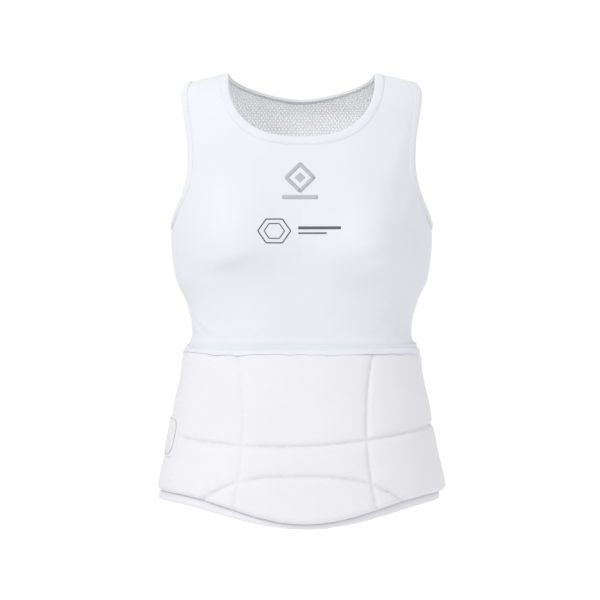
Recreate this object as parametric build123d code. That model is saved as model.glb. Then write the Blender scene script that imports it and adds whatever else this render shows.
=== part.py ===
"""A woman's karate chest protector: a sleeveless stretch vest with two hard breast cups, and a quilted
foam pad that wraps the abdomen and closes behind with an elastic strap on hook and loop.

Units are millimetres. +Z is up and the wearer faces -Y, so +X is the wearer's left.
The origin is on the torso's axis at the waist seam.
Every layer is a slice of one torso form, grown or shrunk by the layer's own offset.
"""

from build123d import *

import math
import os

# ---- Torso form: height, half width, depth in front, depth behind
STATIONS = [
    (-215, 159.0, 105, 104),
    (-157, 154.0, 102, 101),
    (-110, 144.0, 98, 94),
    (-60, 134.8, 91, 85),
    (-10, 125.5, 84, 76),
    (12, 126.5, 81, 72),
    (35, 127.2, 80, 72),
    (60, 133.0, 82, 76),
    (90, 146.0, 84, 82),
    (130, 150.8, 83, 87),
    (170, 151.0, 80, 91),
    (210, 154.0, 76, 92),
    (250, 157.0, 67, 86),
    (284, 158.0, 56, 73),
    (300, 152.5, 45, 59),
    (306, 147.0, 40, 52),
    (311, 140.5, 35, 45),
    (315, 133.0, 30, 38.5),
    (319, 120.0, 24, 31),
    (322.5, 106.5, 19, 24.5),
    (326, 89.5, 13.5, 17.5),
    (328.5, 72.0, 9.5, 12.5),
]
ROUNDNESS = 2.3  # exponent of each superelliptic section
SECTION_POINTS = 40
FORM_TOP = STATIONS[-1][0]
FORM_BOTTOM = STATIONS[0][0]
SHOULDER_FROM, SHOULDER_TO = 245, 306  # where an offset starts to lift the top, and lifts it fully

# ---- Bust
BUST_X, BUST_Z, BUST_RISE = 84, 126, 26
BUST_IN, BUST_OUT = 46, 44  # spread towards the breastbone and towards the arm
BUST_ABOVE, BUST_BELOW = 66, 36  # spread upwards and downwards
BUST_VALLEY = 0.3  # share of the rise left at the breastbone
SIDE_FADE = 30  # depth over which the bust fades out at the side

# ---- Openings of the vest
NECK_HALF, NECK_TOP = 86, 327
NECK_FRONT_DROP, NECK_FRONT_POWER = 78.5, 2.5
NECK_BACK_DROP, NECK_BACK_POWER = 25, 1.5
ARM_EDGE = [
    (161, 136),
    (153.5, 148),
    (145.5, 167),
    (137.5, 184),
    (132, 202),
    (129.8, 222),
    (130.5, 244),
    (133.8, 267),
    (137, 288),
    (138.6, 302),
    (137.5, 309),
    (132, 316.5),
    (122, 324),
    (108, 338),
]
NECK_BINDING, ARM_BINDING = 10, 7.5  # widths of the bindings
FABRIC = 1.2
BINDING_PROUD = 0.7  # how far a binding stands out of the fabric, each side

# ---- Breast cups, in their pocket between the front panel and the lining
CUP_X, CUP_Z, CUP_HALF_WIDTH, CUP_HALF_HEIGHT = 80, 124, 54, 58
CUP_CLEARANCE, SHELL, CUP_FOAM, CUP_FOAM_INSET = 0.5, 2.5, 4.0, 4
LINING, LINING_GAP = 0.8, 0.3
LINING_LOW, LINING_HIGH, LINING_HALF = 24, 205, 128
CUP_LAYER_TOP = 240  # the layers inside the vest are grown up to here, then cut down

# ---- Waist band and its elastic
BAND_LOW, BAND_HIGH, BAND_OVER_PAD_TO = -5, 18, 2
BAND_OFFSET, BAND_GAP_OFFSET = 16.2, 1.6  # over the pad, and in the gap behind
ELASTIC, ELASTIC_CLEARANCE, ELASTIC_LOW, ELASTIC_HIGH = 0.8, 0.2, -4.5, 2

# ---- Abdominal pad
PAD_TOP, PAD_SIDE_BOTTOM, PAD_TONGUE, PAD_TONGUE_HALF = 0, -158, 30, 165
BACKING, FOAM_FROM, FOAM_TO, COVER_FROM, COVER_TO = 0.8, 1.0, 13.0, 13.2, 14.2
SEAM_GAP = 2.4
WING_END, REAR_BINDING = 95, 4  # the wings end this far from the middle of the back
BAND_SWING = (24, 80)  # the waist band moves from back to pad between these widths
HEM_DROP, HEM_FROM, HEM_TO = 8.5, 1.0, 5.0
CROSS_SEAM_MIDDLE, CROSS_SEAM_SIDE, CROSS_SEAM_HALF = -101, -87, 150
UPRIGHT_SEAM = [(77, 5), (70, -90), (86, -190)]
ARC_TOP, ARC_DROP, ARC_HALF, ARC_POWER = -135, 27.5, 113.5, 3.0

# ---- Closing strap
STRAP_Z, STRAP_WIDTH, STRAP_OFFSET, STRAP_THICK, STRAP_SAG = -94, 56, 15.7, 2.0, 6.5
STRAP_END = 108  # the strap runs between planes this far each side of the middle
ANCHOR_LENGTH, ANCHOR_CLEARANCE, ANCHOR_THICK = 26, 2.5, 3
PATCH_FROM, PATCH_TO, PATCH_WIDTH, PATCH_FRONT = 14.5, 15.2, 50, -54
PATCH_INSET = 6  # the loop patch starts this far from the wing's end
TAB_GAP = 0.6  # between the strap's end and the tab
TAB_WIDTH, TAB_FRONT, HOOK, TAB_THICK, HOOK_INSET = 40, -46, 0.5, 1.5, 3

REACH = 260  # half size of the cutting blocks
OVERRUN = 40  # how far a cutter runs on past what it cuts


def smooth(value, low, high):
    """0 below low, 1 above high, and an S-curve between them."""
    t = min(1.0, max(0.0, (value - low) / (high - low)))
    return t * t * (3 - 2 * t)


def form_at(z):
    """Half width, front depth and back depth at a height, by monotone cubics through the stations."""
    z = min(FORM_TOP, max(FORM_BOTTOM, z))
    i = min(max(k for k, s in enumerate(STATIONS) if s[0] <= z), len(STATIONS) - 2)
    low, high = STATIONS[i], STATIONS[i + 1]
    step = high[0] - low[0]
    t = (z - low[0]) / step

    def slope(k, column):
        """The tangent at station k, kept small enough to never overshoot."""
        if k in (0, len(STATIONS) - 1):
            near = (0, 1) if k == 0 else (k - 1, k)
            a, b = (STATIONS[n] for n in near)
            return (b[column] - a[column]) / (b[0] - a[0])
        a, b, c = STATIONS[k - 1 : k + 2]
        before, after = (b[column] - a[column]) / (b[0] - a[0]), (c[column] - b[column]) / (c[0] - b[0])
        return 0.0 if before * after <= 0 else 2 * before * after / (before + after)

    return [
        low[c] * (2 * t**3 - 3 * t**2 + 1)
        + slope(i, c) * step * (t**3 - 2 * t**2 + t)
        + high[c] * (3 * t**2 - 2 * t**3)
        + slope(i + 1, c) * step * (t**3 - t**2)
        for c in (1, 2, 3)
    ]


def bust(x, z):
    """How far the bust stands out of the plain form."""
    across, rise = abs(x) - BUST_X, z - BUST_Z
    if across > 0:
        width = math.exp(-((across / BUST_OUT) ** 2))
    else:
        width = BUST_VALLEY + (1 - BUST_VALLEY) * math.exp(-((across / BUST_IN) ** 2))
    return BUST_RISE * width * math.exp(-((rise / (BUST_ABOVE if rise > 0 else BUST_BELOW)) ** 2))


def section(z, offset):
    """The closed profile of the form at height z, grown by offset(x, y, z)."""
    points = []
    for k in range(SECTION_POINTS):
        turn = math.pi / 2 + 2 * math.pi * k / SECTION_POINTS
        c, s = math.cos(turn), math.sin(turn)
        lift = smooth(z, SHOULDER_FROM, SHOULDER_TO)
        level = z - lift * offset(0, 0, z)
        half, front, back = form_at(level)
        depth = back if s > 0 else front
        ux, uy = (math.copysign(abs(v) ** (2 / ROUNDNESS), v) for v in (c, s))
        x, y = half * ux, depth * uy
        normal = Vector(
            math.copysign(abs(ux) ** (ROUNDNESS - 1) / half, ux),
            math.copysign(abs(uy) ** (ROUNDNESS - 1) / depth, uy),
        ).normalized()
        if y < 0:
            y -= bust(x, level) * smooth(-y, 0, SIDE_FADE)
        grow = offset(x, y, z)
        points.append((x + normal.X * grow, y + normal.Y * grow, z))
    even = [k / SECTION_POINTS for k in range(SECTION_POINTS + 1)]
    return Wire(Edge.make_spline([Vector(*p) for p in points], periodic=True, parameters=even))


def form(offset, low, high, step=18):
    """A solid of the form from low to high, grown by a number or by offset(x, y, z)."""
    grow = offset if callable(offset) else lambda x, y, z: offset
    heights = {low, high} | {s[0] for s in STATIONS if s[0] > SHOULDER_TO and s[0] < high}
    count = round((min(high, SHOULDER_TO) - low) / step)
    heights |= {low + (min(high, SHOULDER_TO) - low) * k / count for k in range(count + 1)}
    return Solid.make_loft([section(z, grow) for z in sorted(heights)])


def layer(inner, outer, low, high, step=18):
    """The shell of the form between two offsets."""
    return form(outer, low, high, step) - form(inner, low, high, step)


def block(x=(-REACH, REACH), y=(-REACH, REACH), z=(-REACH, 2 * REACH)):
    """A cutting block between pairs of limits."""
    sizes = [high - low for low, high in (x, y, z)]
    middle = [(high + low) / 2 for low, high in (x, y, z)]
    return Pos(*middle) * Box(*sizes)


def prism(edges, y=(-REACH, REACH)):
    """Edges drawn as (x, z) in the front view, closed and pushed from y[0] to y[1]."""
    face = Plane.XZ * Face(Wire(edges))
    return Pos(0, y[1], 0) * extrude(face, y[1] - y[0], dir=(0, -1, 0))


def outline(points, corners):
    """A spline through points, closed by straight lines through corners."""
    return [Spline(points).edge(), *Polyline([points[-1], *corners, points[0]]).edges()]


def mirrored(shape):
    return shape.mirror(Plane.YZ)


def offset_line(points, distance):
    """The points moved sideways, to the left of the way they run."""
    moved = []
    for k, (x, z) in enumerate(points):
        a, b = points[max(k - 1, 0)], points[min(k + 1, len(points) - 1)]
        dx, dz = b[0] - a[0], b[1] - a[1]
        long = math.hypot(dx, dz)
        moved.append((x - dz / long * distance, z + dx / long * distance))
    return moved


# ---- Cutters
def neck_half(grow, drop, power, count=12):
    """One neckline as (x, z) points, widened by grow."""
    points = []
    for k in range(2 * count + 1):
        turn = math.pi * k / (2 * count)
        c, s = math.cos(turn), math.sin(turn)
        x = math.copysign(abs(c) ** (2 / power), c) * (NECK_HALF + grow)
        points.append((x, NECK_TOP - s ** (2 / power) * (drop + grow)))
    return points


def neck_hole(grow=0.0):
    """What the neck opening takes away."""
    holes = []
    for drop, power, y in (
        (NECK_FRONT_DROP, NECK_FRONT_POWER, (-REACH, 0)),
        (NECK_BACK_DROP, NECK_BACK_POWER, (0, REACH)),
    ):
        points = neck_half(grow, drop, power)
        top = NECK_TOP + OVERRUN
        corners = [(-NECK_HALF - grow, top), (NECK_HALF + grow, top)]
        holes.append(prism(outline(points, corners), y))
    return holes


def arm_hole(grow=0.0):
    """What the wearer's left armhole takes away."""
    points = offset_line(ARM_EDGE, grow)
    return prism(outline(points, [(REACH, points[-1][1]), (REACH, points[0][1])]))


def pad_bottom(x):
    """Height of the pad's lower edge in front."""
    share = min(abs(x), PAD_TONGUE_HALF) / PAD_TONGUE_HALF
    return PAD_SIDE_BOTTOM - PAD_TONGUE * (math.cos(math.pi * share) + 1) / 2


def below_pad(drop=0.0):
    """Everything lower than the pad's edge, or lower than drop under it."""
    stations = [PAD_TONGUE_HALF * k / 8 for k in range(-8, 9)]
    points = [(x, pad_bottom(x) - drop) for x in stations]
    side = PAD_SIDE_BOTTOM - drop
    corners = [(REACH, side), (REACH, -REACH), (-REACH, -REACH), (-REACH, side)]
    return [prism(outline(points, corners), (-REACH, 0)), block(y=(0, REACH), z=(-REACH, side))]


def curtain(points, y=(-REACH, REACH)):
    """A wall as thick as a quilting seam, along a line in the front view."""
    a, b = (offset_line(points, side * SEAM_GAP / 2) for side in (1, -1))
    edges = [
        Spline(a).edge(),
        Line(a[-1], b[-1]).edge(),
        Spline(b[::-1]).edge(),
        Line(b[0], a[0]).edge(),
    ]
    return prism(edges, y)


# ---- Vest
def vest_parts():
    """The stretch front, the mesh back and the three bindings."""
    cloth = layer(0, FABRIC, BAND_HIGH, FORM_TOP)
    thick = layer(-BINDING_PROUD, FABRIC + BINDING_PROUD, BAND_HIGH, FORM_TOP)
    wide_arm = arm_hole(ARM_BINDING)
    wide_necks = neck_hole(NECK_BINDING)
    panels = cloth - wide_necks - [wide_arm, mirrored(wide_arm)]
    bound_neck = (thick - neck_hole()) & (wide_necks[0] + wide_necks[1])
    bound_arm = (thick & block(x=(0, REACH)) & wide_arm) - arm_hole()
    return {
        "front_panel": panels & block(y=(-REACH, 0)),
        "back_panel": panels & block(y=(0, REACH)),
        "neck_binding": bound_neck,
        "armhole_binding_left": bound_arm,
        "armhole_binding_right": mirrored(bound_arm),
    }


def cup_outline(x, shrink=0.0):
    """The front-view ellipse of a cup centred at x, pushed through the front of the form."""
    ellipse = Ellipse(CUP_HALF_WIDTH - shrink, CUP_HALF_HEIGHT - shrink).edge()
    return Pos(x, 0, CUP_Z) * prism([ellipse], (-REACH, -SIDE_FADE))


def cup_parts():
    """Two hard shells, their foam, and the lining that closes the pocket."""
    shell_to = CUP_CLEARANCE + SHELL
    foam_to = shell_to + CUP_FOAM
    shell = layer(-shell_to, -CUP_CLEARANCE, BAND_HIGH, CUP_LAYER_TOP) & cup_outline(CUP_X)
    foam = layer(-foam_to, -shell_to, BAND_HIGH, CUP_LAYER_TOP) & cup_outline(CUP_X, CUP_FOAM_INSET)
    patch = block(x=(-LINING_HALF, LINING_HALF), y=(-REACH, -SIDE_FADE), z=(LINING_LOW, LINING_HIGH))
    lining_to = foam_to + LINING_GAP
    lining = layer(-lining_to - LINING, -lining_to, BAND_HIGH, CUP_LAYER_TOP) & patch
    wide_arm = arm_hole(ARM_BINDING + 1)
    return {
        "cup_shell_left": shell,
        "cup_shell_right": mirrored(shell),
        "cup_foam_left": foam,
        "cup_foam_right": mirrored(foam),
        "cup_lining": lining - [wide_arm, mirrored(wide_arm)],
    }


def band_offset(extra):
    """Offset of the waist band: on the body above, over the pad below, and on the back between the wings."""

    def at(x, y, z):
        behind = smooth(abs(x), *BAND_SWING)
        over = BAND_GAP_OFFSET + (BAND_OFFSET - BAND_GAP_OFFSET) * (behind if y > 0 else 1)
        return over * (1 - smooth(z, BAND_OVER_PAD_TO, BAND_HIGH)) + extra

    return at


def waist_parts():
    """The band that joins vest and pad, and the elastic inside it."""
    inner = -ELASTIC - ELASTIC_CLEARANCE
    elastic = layer(band_offset(inner), band_offset(inner + ELASTIC), BAND_LOW, BAND_HIGH, step=4)
    return {
        "waist_band": layer(band_offset(0), band_offset(FABRIC), BAND_LOW, BAND_HIGH, step=4),
        "waist_elastic": elastic & block(z=(ELASTIC_LOW, ELASTIC_HIGH)),
    }


# ---- Pad
def rear_gap(half):
    """The space between the wings behind."""
    return block(x=(-half, half), y=(0, REACH))


def pad_layer(inner, outer, low=None, half=WING_END):
    """One layer of the pad, cut to its outline."""
    shell = layer(inner, outer, FORM_BOTTOM, PAD_TOP)
    return shell - (below_pad() if low is None else low) - rear_gap(half)


def pad_parts():
    """Backing, nine foam blocks, cover and the edge bindings."""
    parts = {
        "pad_backing": pad_layer(0, BACKING),
        "pad_cover": pad_layer(COVER_FROM, COVER_TO),
    }
    wide = [(CROSS_SEAM_HALF + OVERRUN) * k / 4 for k in range(-4, 5)]
    rise = CROSS_SEAM_SIDE - CROSS_SEAM_MIDDLE
    cross = [(x, CROSS_SEAM_MIDDLE + rise * (x / CROSS_SEAM_HALF) ** 2) for x in wide]
    arc_stations = [(ARC_HALF + OVERRUN / 2) * k / 6 for k in range(-6, 7)]
    arc = [(x, ARC_TOP - ARC_DROP * (abs(x) / ARC_HALF) ** ARC_POWER) for x in arc_stations]
    upright = curtain(UPRIGHT_SEAM, (-REACH, 0))
    foam = pad_layer(FOAM_FROM, FOAM_TO)
    foam -= [curtain(cross), curtain(arc, (-REACH, 0)), upright, mirrored(upright)]
    for solid in foam.solids():
        parts[f"foam_{foam_name(solid)}"] = solid
    under = below_pad()
    hem = pad_layer(HEM_FROM, HEM_TO, below_pad(HEM_DROP))
    parts["bottom_binding"] = hem & (under[0] + under[1])
    end = pad_layer(0, COVER_TO, half=WING_END - REAR_BINDING) & block(x=(0, WING_END), y=(0, REACH))
    parts["rear_binding_left"] = end
    parts["rear_binding_right"] = mirrored(end)
    return parts


def foam_name(solid):
    """Row and side of a foam block, such as upper_left."""
    across, top = solid.center().X, solid.bounding_box().max.Z
    side = "left" if across > 0 else "right"
    if abs(across) < SEAM_GAP:
        side = "centre"
    if top > CROSS_SEAM_SIDE:
        return f"upper_{side}"
    if top > ARC_TOP:
        return f"middle_{side}"
    return f"lower_{side}"


# ---- Closure
def strap_offset(extra):
    """Offset of the strap: on the wings at its ends, a little nearer to the back between them."""

    def at(x, y, z):
        return STRAP_OFFSET - STRAP_SAG * (1 - smooth(abs(x), 20, WING_END)) * (y > 0) + extra

    return at


def closure_parts():
    """Anchor, strap, tab with its hook face, and the loop patch it grips."""
    low, high = STRAP_Z - STRAP_WIDTH, PAD_TOP
    strap_z = (STRAP_Z - STRAP_WIDTH / 2, STRAP_Z + STRAP_WIDTH / 2)
    tab_z = (STRAP_Z - TAB_WIDTH / 2, STRAP_Z + TAB_WIDTH / 2)
    patch_z = (STRAP_Z - PATCH_WIDTH / 2, STRAP_Z + PATCH_WIDTH / 2)
    band = layer(strap_offset(0), strap_offset(STRAP_THICK), low, high)
    anchor_from = STRAP_END + ANCHOR_CLEARANCE
    anchor = layer(PATCH_FROM, PATCH_FROM + ANCHOR_THICK, low, high)
    tab_x = (-REACH, -STRAP_END - TAB_GAP)
    tab_round = TAB_FRONT + TAB_WIDTH / 2
    tab_end = Pos(0, tab_round, STRAP_Z) * Rot(0, 90, 0) * Cylinder(TAB_WIDTH / 2, 2 * REACH)
    tab_outline = block(x=tab_x, y=(tab_round, REACH), z=tab_z) + (tab_end & block(x=tab_x, z=tab_z))
    hook_z = (tab_z[0] + HOOK_INSET, tab_z[1] - HOOK_INSET)
    hook_outline = block(x=(-REACH, -STRAP_END - HOOK_INSET), y=(tab_round, REACH), z=hook_z)
    tab = layer(STRAP_OFFSET + HOOK, STRAP_OFFSET + HOOK + TAB_THICK, low, high)
    hook = layer(STRAP_OFFSET, STRAP_OFFSET + HOOK, low, high)
    patch = layer(PATCH_FROM, PATCH_TO, low, high)
    behind = (0, REACH)
    return {
        "closure_strap": band & block(x=(-STRAP_END, STRAP_END), y=behind, z=strap_z),
        "strap_anchor": anchor & block(x=(anchor_from, anchor_from + ANCHOR_LENGTH), y=behind, z=strap_z),
        "hook_tab": tab & tab_outline,
        "hook_face": hook & hook_outline,
        "loop_patch": patch & block(x=(-REACH, -WING_END - PATCH_INSET), y=(PATCH_FRONT, REACH), z=patch_z),
    }


def main():
    os.makedirs("parts", exist_ok=True)
    parts = {**vest_parts(), **cup_parts(), **waist_parts(), **pad_parts(), **closure_parts()}
    for name, shape in parts.items():
        export_step(shape, f"parts/{name}.step")
        print(name, len(shape.solids()), round(shape.volume))


main()
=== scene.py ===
"""Looks for the karate chest protector: stretch vest, mesh back, moulded cups and quilted abdomen pad."""
import math

import bmesh
import bpy
import numpy as np
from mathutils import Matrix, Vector, kdtree, noise
from mathutils.bvhtree import BVHTree
from mathutils.interpolate import poly_3d_calc


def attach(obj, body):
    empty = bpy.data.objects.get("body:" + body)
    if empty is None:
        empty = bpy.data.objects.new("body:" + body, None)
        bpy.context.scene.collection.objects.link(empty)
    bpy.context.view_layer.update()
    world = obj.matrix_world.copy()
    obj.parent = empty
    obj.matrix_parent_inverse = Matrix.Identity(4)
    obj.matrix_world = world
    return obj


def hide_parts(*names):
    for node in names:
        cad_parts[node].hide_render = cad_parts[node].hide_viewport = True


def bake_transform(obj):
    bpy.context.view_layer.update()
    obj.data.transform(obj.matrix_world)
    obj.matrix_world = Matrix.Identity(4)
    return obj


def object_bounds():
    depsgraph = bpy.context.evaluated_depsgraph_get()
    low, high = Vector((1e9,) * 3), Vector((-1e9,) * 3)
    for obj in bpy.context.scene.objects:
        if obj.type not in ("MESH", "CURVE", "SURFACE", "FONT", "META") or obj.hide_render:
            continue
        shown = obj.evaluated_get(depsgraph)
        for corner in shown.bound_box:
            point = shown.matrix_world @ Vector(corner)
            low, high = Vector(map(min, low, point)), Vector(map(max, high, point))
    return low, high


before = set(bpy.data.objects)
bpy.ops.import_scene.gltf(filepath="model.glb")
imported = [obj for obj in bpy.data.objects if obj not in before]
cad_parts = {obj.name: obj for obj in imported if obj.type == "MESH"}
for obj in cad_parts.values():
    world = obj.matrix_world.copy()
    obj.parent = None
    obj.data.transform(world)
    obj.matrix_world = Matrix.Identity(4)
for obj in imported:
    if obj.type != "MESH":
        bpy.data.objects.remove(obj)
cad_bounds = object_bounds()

MM = 0.001
SIDE_NAMES = {1: "left", -1: "right"}  # the wearer's left is +x

# ---- Torso form in millimetres, as in the CAD: height, half width, depth in front, depth behind
STATIONS = np.array([
    (-215, 159.0, 105, 104), (-157, 154.0, 102, 101), (-110, 144.0, 98, 94),
    (-60, 134.8, 91, 85), (-10, 125.5, 84, 76), (12, 126.5, 81, 72),
    (35, 127.2, 80, 72), (60, 133.0, 82, 76), (90, 146.0, 84, 82),
    (130, 150.8, 83, 87), (170, 151.0, 80, 91), (210, 154.0, 76, 92),
    (250, 157.0, 67, 86), (284, 158.0, 56, 73), (300, 152.5, 45, 59),
    (306, 147.0, 40, 52), (311, 140.5, 35, 45), (315, 133.0, 30, 38.5),
    (319, 120.0, 24, 31), (322.5, 106.5, 19, 24.5), (326, 89.5, 13.5, 17.5),
    (328.5, 72.0, 9.5, 12.5),
], dtype=float)
ROUNDNESS = 2.3
SHOULDER_FROM, SHOULDER_TO = 245, 306
BUST_X, BUST_Z, BUST_RISE = 84, 126, 26
BUST_IN, BUST_OUT, BUST_ABOVE, BUST_BELOW = 46, 44, 66, 36
BUST_VALLEY, SIDE_FADE = 0.3, 30

NECK_HALF, NECK_TOP = 86, 327
NECK_FRONT = (78.5, 2.5)  # drop and power of the neckline
NECK_BACK = (25, 1.5)
ARM_EDGE = np.array([
    (161, 136), (153.5, 148), (145.5, 167), (137.5, 184), (132, 202),
    (129.8, 222), (130.5, 244), (133.8, 267), (137, 288), (138.6, 302),
    (137.5, 309), (132, 316.5), (122, 324), (108, 338),
], dtype=float)
FABRIC = 1.2
NECK_BINDING, ARM_BINDING = 10, 7.5
NECK_INSIDE, NECK_BEHIND = 3, 0.55  # width folded inside, and the share of its width the binding has behind
BINDING_TUCK = 4  # the panels run this far short of the edge, inside the binding
BINDING_SEAM, BINDING_SEAM_LIFT = 0.8, 0.7  # its stitching: share of its width from the edge, and height
NECK_CENTRE, ARM_CENTRE = np.array([0, 0, 330.0]), np.array([170.0, 0, 232.0])  # middles of the openings
VEST_LOW, VEST_TOP = 9, 328.3  # heights of the panels' grids
SPACED_Z = 130  # height at which the panels' columns are evenly spaced
MESH_THICK, EYELET = 0.8, 0.42  # thickness, and size of each eyelet in its diamond of mesh

CUP_X, CUP_Z, CUP_HALF_WIDTH, CUP_HALF_HEIGHT = 80, 124, 54, 58
CUP_FOAM_THICK, CUP_FOAM_DEPTH, CUP_FOAM_MARGIN = 3.7, 5.05, 4
LINING_HALF, LINING_LOW, LINING_HIGH, LINING_THICK = 126, 26, 203, 0.6

HEM_TOP, HEM_LOW = 12.5, 1.5  # the hem's stitched top and its free edge
ELASTIC_Z, ELASTIC_THICK = (9.5, 6.5), 0.5
HEM_PULL = (14, 46)  # heights between which the gathers above the hem fade out
HEM_EDGE_WAVES = [(8, 4, 0.7), (15, 5, 1.4), (48, 6, 2.6)]  # ripple of its free edge: size, seed, height
HEM_ROWS = (0.12, 0.45)  # where its two stitch rows run, as shares of its height
FLARE_LOW, FLARE_HIGH, FLARE_PAD, FLARE_GAP = -6, 24, 12.6, 0.8  # how the hem stands out over the pad
PAD_TOP, PAD_SIDE_BOTTOM, PAD_TONGUE, PAD_TONGUE_HALF = 8, -158, 30, 165
PAD_RIM_TOP, PAD_RIM_LOW, PAD_MIDDLE, PAD_PUFF = (9, 26), 8, 6.5, 0.6  # rounding of the pad's edges
COVER = 14.2
WING_END = 95
REAR_X, REAR_REACH, REAR_MIDDLE, REAR_HALF, REAR_THICK = 101, 9.6, 7.1, 7.5, 1.0  # tape round a wing's end
CROSS_SEAM_MIDDLE, CROSS_SEAM_SIDE, CROSS_SEAM_HALF = -101, -87, 150
UPRIGHT_SEAM = [(76, -2), (70, -90), (82, -175)]
UPRIGHT_SHIFT, CROSS_SEAM_TILT = 4, 0.04  # the pad sits a little askew
ARC_TOP, ARC_DROP, ARC_HALF, ARC_POWER = -135, 27.5, 113.5, 3.0
GROOVE, GROOVE_WIDTH, CROWN, CROWN_WIDTH = 3.2, 1.7, 1.0, 10
DIMPLE, DIMPLE_WIDTH = 1.8, 5  # how the seams draw in the pad's inner side
SLACK = [(-68, 0.5), (76, 0.22)]  # x of the upright seams and the share of the full depth they lack
SLACK_WIDTH = 12
PUCKER, PUCKER_WIDTH = 0.55, 7  # fine puckers of the cover beside the seams
PAD_WAVES = [(55, 12, 0.5), (19, 13, 0.18)]  # unevenness of the foam: size, seed, height
FLAT_SINK = 0.4  # how far the closure presses the cover in

STRAP_Z, STRAP_WIDTH, STRAP_OFFSET, STRAP_THICK, STRAP_SAG, STRAP_END = -94, 56, 15.7, 2.0, 6.5, 108
STRAP_TAIL = 16  # how far the strap runs on under its anchor patch
ANCHOR_LENGTH, ANCHOR_OFFSET, ANCHOR_THICK = 28, 16.35, 1.3
TAB_WIDTH, TAB_FRONT, TAB_THICK, TAB_LIFT = 40, -46, 0.9, -0.5
HOOK_OFFSET, HOOK_THICK, HOOK_INSET = 14.78, 0.38, 0.6  # the hook face is a little smaller than the tab
TAB_SEWN, TAB_OVER = 9, 2.65  # length and lift of the part of the tab that lies on the strap
PATCH_OFFSET, PATCH_THICK, PATCH_WIDTH, PATCH_FRONT = 14.3, 0.45, 48, -53


# ---- Shape helpers
def round_angles(count):
    return np.linspace(0, 2 * math.pi, count + 1)[:-1]


def smooth(value, low, high):
    t = np.clip((np.asarray(value, float) - low) / (high - low), 0, 1)
    return t * t * (3 - 2 * t)


def bell(value, width=1.0):
    """1 at zero, falling to 1 / e at the width."""
    return np.exp(-((value / width) ** 2))


def monotone(x, xs, ys):
    """Cubic through (xs, ys) that never overshoots."""
    step = np.diff(xs)
    rate = np.diff(ys) / step
    slope = np.empty(len(xs))
    slope[0], slope[-1] = rate[0], rate[-1]
    before, after = rate[:-1], rate[1:]
    total = np.where(before + after == 0, 1, before + after)
    slope[1:-1] = np.where(before * after <= 0, 0, 2 * before * after / total)
    x = np.clip(x, xs[0], xs[-1])
    i = np.clip(np.searchsorted(xs, x, side="right") - 1, 0, len(xs) - 2)
    h = step[i]
    t = (x - xs[i]) / h
    return (
        ys[i] * (2 * t**3 - 3 * t**2 + 1)
        + slope[i] * h * (t**3 - 2 * t**2 + t)
        + ys[i + 1] * (3 * t**2 - 2 * t**3)
        + slope[i + 1] * h * (t**3 - t**2)
    )


def form_at(z):
    """Half width, front depth and back depth of the form at heights z."""
    return [monotone(z, STATIONS[:, 0], STATIONS[:, c]) for c in (1, 2, 3)]


def bust(x, z):
    across, rise = np.abs(x) - BUST_X, z - BUST_Z
    outer, inner = bell(across, BUST_OUT), BUST_VALLEY + (1 - BUST_VALLEY) * bell(across, BUST_IN)
    tall = np.where(rise > 0, BUST_ABOVE, BUST_BELOW)
    return BUST_RISE * np.where(across > 0, outer, inner) * bell(rise, tall)


def together(*values):
    """The values as arrays of one common shape."""
    return np.broadcast_arrays(*[np.asarray(value, float) for value in values])


def torso(turn, z, grow=0.0):
    """Points of the form at an angle round it and a height, pushed out by grow, in millimetres."""
    turn, z, grow = together(turn, z, grow)
    level = z - smooth(z, SHOULDER_FROM, SHOULDER_TO) * grow
    half, front, back = form_at(level)
    c, s = np.cos(turn), np.sin(turn)
    ux = np.sign(c) * np.abs(c) ** (2 / ROUNDNESS)
    uy = np.sign(s) * np.abs(s) ** (2 / ROUNDNESS)
    depth = np.where(s > 0, back, front)
    x, y = half * ux, depth * uy
    nx = np.sign(ux) * np.abs(ux) ** (ROUNDNESS - 1) / half
    ny = np.sign(uy) * np.abs(uy) ** (ROUNDNESS - 1) / depth
    size = np.hypot(nx, ny)
    y = y - np.where(y < 0, bust(x, level) * smooth(-y, 0, SIDE_FADE), 0)
    return np.stack([x + nx / size * grow, y + ny / size * grow, z], axis=-1)


def turn_at(x, z, grow=0.0, behind=False):
    """The angle at which the form, grown, reaches x at height z."""
    x, z, grow = together(x, z, grow)
    low = np.zeros(x.shape) if behind else np.full(x.shape, math.pi)
    high = low + math.pi
    for _ in range(26):
        middle = (low + high) / 2
        here = torso(middle, z, grow)[..., 0]
        further = here > x if behind else here < x
        low = np.where(further, middle, low)
        high = np.where(further, high, middle)
    return (low + high) / 2


def at_x(x, z, grow=0.0, behind=False):
    """Points of the grown form seen from the front, or from behind, at (x, z)."""
    return torso(turn_at(x, z, grow, behind), z, grow)


def waves(points, size, seed):
    """Smooth noise from -1 to 1 at each point, with features about size millimetres across."""
    flat = points.reshape(-1, 3) / size + seed * 7.31
    values = np.fromiter((noise.noise(Vector(p)) for p in flat), float, len(flat))
    return values.reshape(points.shape[:-1])


def rumple(points, layers):
    """Several layers of noise, each given as its size, seed and height."""
    return sum(waves(points, size, seed) * tall for size, seed, tall in layers)


# ---- Mesh helpers
def finish_piece(ob, body, material, node=()):
    """Material, smooth faces and the frame's calls; a piece with body None is attached to no body."""
    ob.data.materials.append(material)
    for polygon in ob.data.polygons:
        polygon.use_smooth = True
    if body:
        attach(ob, body)
    if node:
        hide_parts(*([node] if isinstance(node, str) else node))
    return ob


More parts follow.
